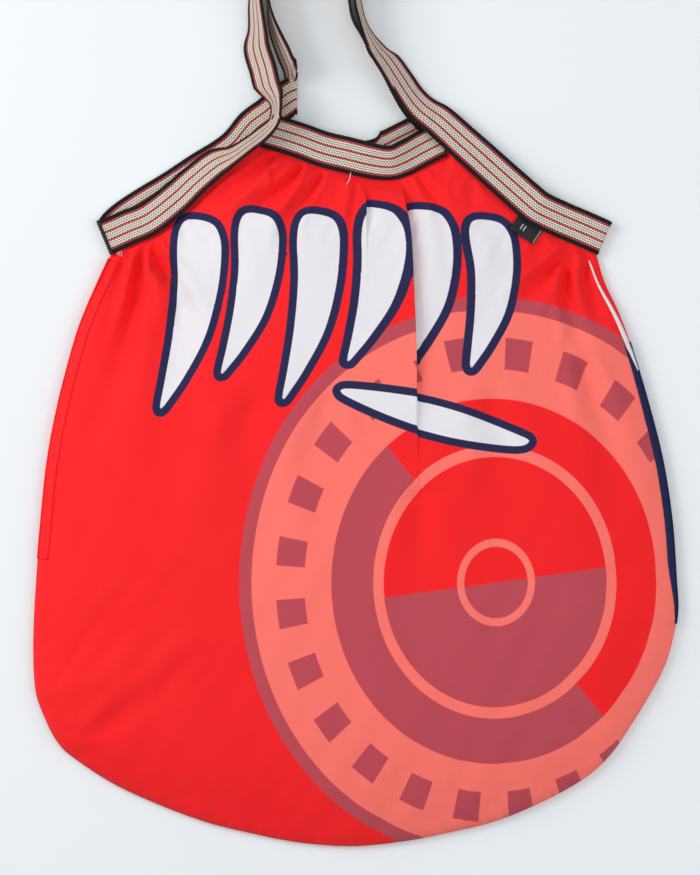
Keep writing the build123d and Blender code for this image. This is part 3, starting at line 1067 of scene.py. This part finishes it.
def build_piping():
    """The white line beside the right edge, which widens downward."""
    line, inward = rim_stations(1, 86, 165)
    share = np.linspace(0, 1, len(line))
    outer_in = 5.6 * np.maximum(0, 1 - share / 0.85) + 0.1
    width = 0.9 + 2.4 * np.minimum(share / 0.7, 1) * np.minimum(1, (1 - share) / 0.2)
    ins = outer_in[:, None] + width[:, None] * np.linspace(0, 1, 5)
    plan = line[:, None] + inward[:, None] * ins[..., None]
    crown = np.array([0, 0.35, 0.45, 0.35, 0])    # the piping's round section
    heights = top_of_front(plan.reshape(-1, 2), RIM_Z).reshape(ins.shape) + crown
    heights += 0.12 + 0.5 * np.clip((share - 0.6) / 0.1, 0, 1)[:, None]
    grid = np.concatenate([plan, heights[..., None]], -1)
    obj = grid_mesh("right_edge_piping", grid, ins, run_along(line)[:, None])
    thicken(obj, TRIM, white_knit, white_knit, offset=0)
    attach(obj, "bag")
    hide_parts("right_piping")
    return obj


piping = build_piping()


ALLOWANCE_Z = 3.6         # half way between the two panels


def build_allowance():
    """The overlocked seam allowance, inside along the bottom."""
    line, inward = rim_stations(-1, -260, -120)
    right, right_in = rim_stations(1, -260, -120)
    line = np.vstack([line, right[::-1]])
    inward = np.vstack([inward, right_in[::-1]])
    ins = np.linspace(1.5, 8.0, 6)
    plan = line[:, None] + inward[:, None] * ins[None, :, None]
    run = run_along(line)[:, None]
    heights = ALLOWANCE_Z + 0.25 * np.sin(run / 5.0) * np.linspace(0, 1, 6)
    grid = np.concatenate([plan, heights[..., None]], -1)
    obj = grid_mesh("bottom_seam_allowance_cloth", grid, ins, run)
    thicken(obj, CLOTH, lining, lining, offset=0)
    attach(obj, "bag")
    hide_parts("bottom_seam_allowance")
    return obj


allowance = build_allowance()


# ---- bindings and straps ----
CORNER_OUT = 2.0          # how far the fold at the outer corner reaches past the bindings


def strap_path(ring, back_ring, swing_x, lean, rear_side, rear_up):
    """The whole loop of webbing: down the front leg, round the armhole and up the rear leg."""
    front_rows, rear_rows = stations(ring), stations(back_ring)
    corner = (front_rows[0] + rear_rows[0]) / 2
    out = front_rows[0][:3] - front_rows[1][:3]
    out[2] = 0
    corner[:3] += unit(out) * CORNER_OUT
    rows = front_rows[::-1] + [corner] + rear_rows + loop_stations(swing_x, lean, rear_side, rear_up)
    return smooth(rows, WEBBING_STEP, closed=True)


def split_path(path):
    """The part below the cut in both legs, and the part above it."""
    high = path[:, 1] > CUT_Y
    first, last = np.flatnonzero(~high)[[0, -1]]
    return path[first:last + 1], np.vstack([path[last:], path[1:first + 1]])


STRAPS = {
    "left": (LEFT_RING, LEFT_BACK, LEFT_SWING_X, LEFT_LEAN, 1, 1, LEFT_LIFT_X),
    "right": (RIGHT_RING, RIGHT_BACK, RIGHT_SWING_X, -RIGHT_LEAN, -1, -1, RIGHT_LIFT_X),
}
for side, (ring, back_ring, swing_x, lean, rear_side, rear_up, lift_x) in STRAPS.items():
    low_rows, high_rows = split_path(strap_path(ring, back_ring, swing_x, lean, rear_side, rear_up))
    lower = ribbon(f"{side}_armhole_webbing", low_rows)
    length = np.linalg.norm(np.diff(low_rows[:, :3], axis=0), axis=1).sum()
    upper = ribbon(f"{side}_strap_webbing", high_rows, start=length)
    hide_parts(f"{side}_armhole_band", f"{side}_strap_lower")
    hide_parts(f"{side}_strap_loop")
    for piece in (lower, upper):
        piece.data.materials.append(webbing)
    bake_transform(lower)
    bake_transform(upper)

for name, binding in (("front_neck", FRONT_NECK), ("back_neck", BACK_NECK)):
    piece = ribbon(f"{name}_webbing", smooth(stations(binding), WEBBING_STEP))
    piece.data.materials.append(webbing)
    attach(piece, "bag")
    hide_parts(f"{name}_band")


# ---- thread, tag and the bound corner ----
NEARLY_UP = (0.13, 0.21, 0.97)    # a direction that no thread follows


def tube(name, rows, radius, step=0.5, sides=8, bumps=0.0, pitch=1.0):
    """A round thread or cord along a smooth line, with closed ends; bumps make it look wound."""
    line = smooth(rows, step)[:, :3]
    along = unit(np.gradient(line, axis=0))
    level = unit(np.cross(along, NEARLY_UP))
    rise = np.cross(level, along)
    run = run_along(line)
    angle = np.linspace(0, 2 * np.pi, sides, endpoint=False)
    size = radius * (1 + bumps * np.sin(2 * np.pi * run[:, None] / pitch + angle))
    points = (line[:, None] + level[:, None] * (size * np.cos(angle))[..., None]
              + rise[:, None] * (size * np.sin(angle))[..., None])
    count = len(line)
    faces = []
    for i in range(count - 1):
        a, b = i * sides, (i + 1) * sides
        faces += [(a + j, b + j, b + (j + 1) % sides, a + (j + 1) % sides) for j in range(sides)]
    faces.append(tuple(range(sides)))
    faces.append(tuple(range(count * sides - 1, (count - 1) * sides - 1, -1)))
    attributes = [("along", np.repeat(run, sides)), ("across", np.tile(angle, count))]
    return make_mesh(name, points.reshape(-1, 3), faces, attributes)


def joined(name, parts, material, body="bag"):
    """Several small meshes as one piece."""
    verts, faces = [], []
    for part in parts:
        start = len(verts)
        verts += [v.co.copy() for v in part.data.vertices]
        faces += [[start + i for i in f.vertices] for f in part.data.polygons]
        bpy.data.objects.remove(part)
    mesh = bpy.data.meshes.new(name)
    mesh.from_pydata(verts, [], faces)
    mesh.shade_smooth()
    mesh.materials.append(material)
    obj = bpy.data.objects.new(name, mesh)
    bpy.context.scene.collection.objects.link(obj)
    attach(obj, body)
    return obj


STITCH_DROP = 0.25        # how far a stitch's ends go down into the cloth


def stitches(name, line, heights, spacing, length, radius, material):
    """A row of short stitches along a plan line."""
    run = run_along(line)
    parts = []
    for at in np.arange(spacing / 2, run[-1] - spacing / 2, spacing):
        ends = []
        for share in (-0.5, 0, 0.5):
            end = [np.interp(at + share * length, run, values) for values in (*line.T, heights)]
            end[2] -= STITCH_DROP * abs(share) * 2
            ends.append(end)
        parts.append(tube("stitch", ends, radius, step=length / 3, sides=6))
    return joined(name, parts, material)


def thread_material(name, colour_a, colour_b):
    """Twisted thread: ply lines along a slant, and fuzz."""
    s = Shader(name, Roughness=0.6, Specular_IOR_Level=0.3)
    position = s.output(s.node("ShaderNodeTexCoord"), "Object")
    fuzz = s.noise(position, 2500.0, 3)
    node = s.node("ShaderNodeTexWave", wave_type="BANDS", bands_direction="DIAGONAL")
    node.inputs["Scale"].default_value = 1200.0
    node.inputs["Distortion"].default_value = 1.5
    s.plug(position, node.inputs["Vector"])
    ply = s.output(node, "Fac")
    return s.finish(s.mix(ply * fuzz, colour_b, colour_a), ply + fuzz, 0.00015, 0.6)


white_thread = thread_material("white_thread", (0.62, 0.61, 0.60), (0.86, 0.86, 0.86))
red_thread = thread_material("red_thread", (0.45, 0.006, 0.010), (0.80, 0.014, 0.018))
black_thread = thread_material("black_thread", (0.004, 0.004, 0.005), (0.035, 0.035, 0.038))
SEAM_INSET = 7.2
EDGE_INSET = 3.6
EDGE_LIFT = 0.62          # half the webbing's thickness


def seam_stitches():
    """Red topstitching along the left side insert's seam."""
    line, inward = rim_stations(-1, -43, 163)
    plan = line + inward * SEAM_INSET
    heights = top_of_front(plan, RIM_Z) + 0.55
    stitches("left_seam_stitches", plan, heights, spacing=2.9, length=2.0, radius=0.16,
             material=red_thread)


def edge_stitches(name, binding):
    """Stitching that holds the webbing to the fabric, just inside its sewn selvedge."""
    path = smooth(stations(binding), 1.0)
    middle, across = path[:, :3], unit(path[:, 3:])
    line = middle - across * (HALF - EDGE_INSET)
    normal = np.cross(unit(np.gradient(middle, axis=0)), across)
    normal *= np.sign(normal[:, 2])[:, None]
    line = line + normal * EDGE_LIFT
    stitches(name, line[:, :2], line[:, 2], spacing=2.6, length=1.7, radius=0.17,
             material=black_thread)


seam_stitches()

edge_stitches("neck_topstitching", FRONT_NECK[1:8])
edge_stitches("left_ring_topstitching", LEFT_RING[:7])
edge_stitches("right_ring_topstitching", RIGHT_RING[:7])

LOOSE_END = [(-3.0, 223.5, 12.5), (-3.8, 219, 13.5), (-5.8, 215, 13.2), (-7.0, 211, 12.0)]
loose_end = tube("loose_thread_end", LOOSE_END, 0.22)
tuft = [
    tube("tuft", [(-162 - i * 1.2, 170 - i * 0.3, 5.5), (-162.4 - i * 1.5, 167.6 - i * 0.2, 7.4),
                  (-161.6 - i * 1.7, 165.6 + i * 0.7, 6.6)], 0.16)
    for i in range(3)
]
knot = tube("knot", [(-53.6, 262.6, 26.6), (-52.8, 261.2, 28.2), (-52.2, 259.6, 26.2)], 0.35)
joined("loose_threads", [loose_end, *tuft], white_thread)
joined("junction_thread_knot", [knot], white_thread)


WHIP = 1.55               # radius of the outer turns of thread


def build_corner_join():
    """Black thread wound over the raw ends of the webbing at the left corner."""
    first, last = np.array(LEFT_RING[0], float)
    out = np.array([-1.7, -0.8, 0])
    rows = [tuple(first + (last - first) * t + out + (0, 0, 0.6 * math.sin(math.pi * t)))
            for t in (0.02, 0.25, 0.5, 0.75, 0.98)]
    core = tube("join_core", rows, 1.25, step=0.35, sides=12, bumps=0.13, pitch=1.3)
    whips = []
    for x, y, z in smooth(rows, 0.5)[2:-2:4]:
        turn = [(x + WHIP * math.sin(a) + 0.1 * a, y - 0.8 * math.sin(a), z + WHIP * math.cos(a))
                for a in np.linspace(-1.9, 1.9, 6)]
        whips.append(tube("whip", turn, 0.24, sides=6))
    obj = joined("left_corner_overcast", [core, *whips], black_thread)
    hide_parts("left_corner_join")


build_corner_join()


# the tag's two bars and its edge line: middle, half width, and the two ends
TAG_MARKS = [(6.2, 0.42, 3.6, 8.2), (8.6, 0.42, 3.6, 8.2), (18.9, 0.28, 0.4, 11.4)]


def tag_material():
    """Black woven satin with a pale edge line and two short bars."""
    s = Shader("woven_tag", Roughness=0.5, Sheen_Weight=0.05, Specular_IOR_Level=0.35)
    x, y = s.flat_cloth()
    rib = s.sine((x + y * 0.25) * (2 * math.pi / 0.45))
    weft = s.sine(y * (2 * math.pi / 0.3))
    grain = s.noise(s.join(x, y), 3.0, 3)
    colour = s.mix(s.step(rib, -0.4, 0.8) * grain, (0.006, 0.006, 0.007), (0.034, 0.034, 0.036))
    pale = s.mix(s.step(weft, -0.5, 0.5), (0.30, 0.30, 0.31), (0.66, 0.66, 0.68))
    marks = None
    for bar_x, bar_half, low, high in TAG_MARKS:
        wide = s.step(s.absolute(x - bar_x), bar_half + 0.1, bar_half - 0.1)
        mark = wide * (s.step(y, low, low + 0.2) * s.step(y, high, high - 0.2))
        marks = mark if marks is None else s.maths("MAXIMUM", marks, mark)
    relief = rib * 0.4 + (weft * 0.3 + marks * 0.8)
    return s.finish(s.mix(marks, colour, pale), relief, 0.00012, 0.7)


TAG_LENGTH = 20.0
TAG_DROP = 11.6
TAG_TUCK = 2.0            # how much of the tag is under the webbing
TAG_GAP = 0.45            # between the two layers
INNER_PRINT = 40          # the inner layer's flat places start here, away from the marks


def build_tag():
    """A folded woven tag: two layers, joined along the free edge."""
    flip = next(j for j in frame["joints"] if j["name"] == "label_tag_flip")
    seam_mid = (np.array(flip["pos_m"]) - np.array(HOME)) / MM
    right = unit(-np.array(flip["axis"])[:2])
    down = np.array([right[1], -right[0]])
    us = np.linspace(0, TAG_LENGTH, 21)
    vs = np.linspace(0, TAG_DROP + TAG_TUCK, 15)
    plan = (seam_mid[:2] + right * (us[:, None, None] - TAG_LENGTH / 2)
            + down * (vs[None, :, None] - TAG_TUCK))
    under = top_of_front(plan.reshape(-1, 2), 8.0).reshape(len(us), len(vs))
    hanging = vs > TAG_TUCK + 1
    level = np.median(under[:, 2:6]) - 1.0
    rest = np.where(hanging, np.maximum(under, level), under)
    share = np.clip((vs - TAG_TUCK) / TAG_DROP, 0, 1)
    low_z = rest + (0.35 + 1.5 * share ** 1.5 + 0.35 * share * np.sin(us / 5.0)[:, None])
    upper = np.concatenate([plan, (low_z + TAG_GAP)[..., None]], -1)
    lower = np.concatenate([plan, low_z[..., None]], -1)[:, ::-1]
    bend = upper[:, -1:] * 0.5 + lower[:, :1] * 0.5
    bend[..., :2] += down * 0.3
    grid = np.concatenate([upper, bend, lower], axis=1)
    flat_y = np.concatenate([vs - TAG_TUCK, [TAG_DROP], INNER_PRINT + vs[::-1]])
    obj = grid_mesh("label_tag_woven", grid, us[:, None], flat_y)
    satin = tag_material()
    thicken(obj, 0.25, satin, satin, offset=0)
    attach(obj, "label_tag")
    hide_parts("label_tag")
    return obj


tag = build_tag()
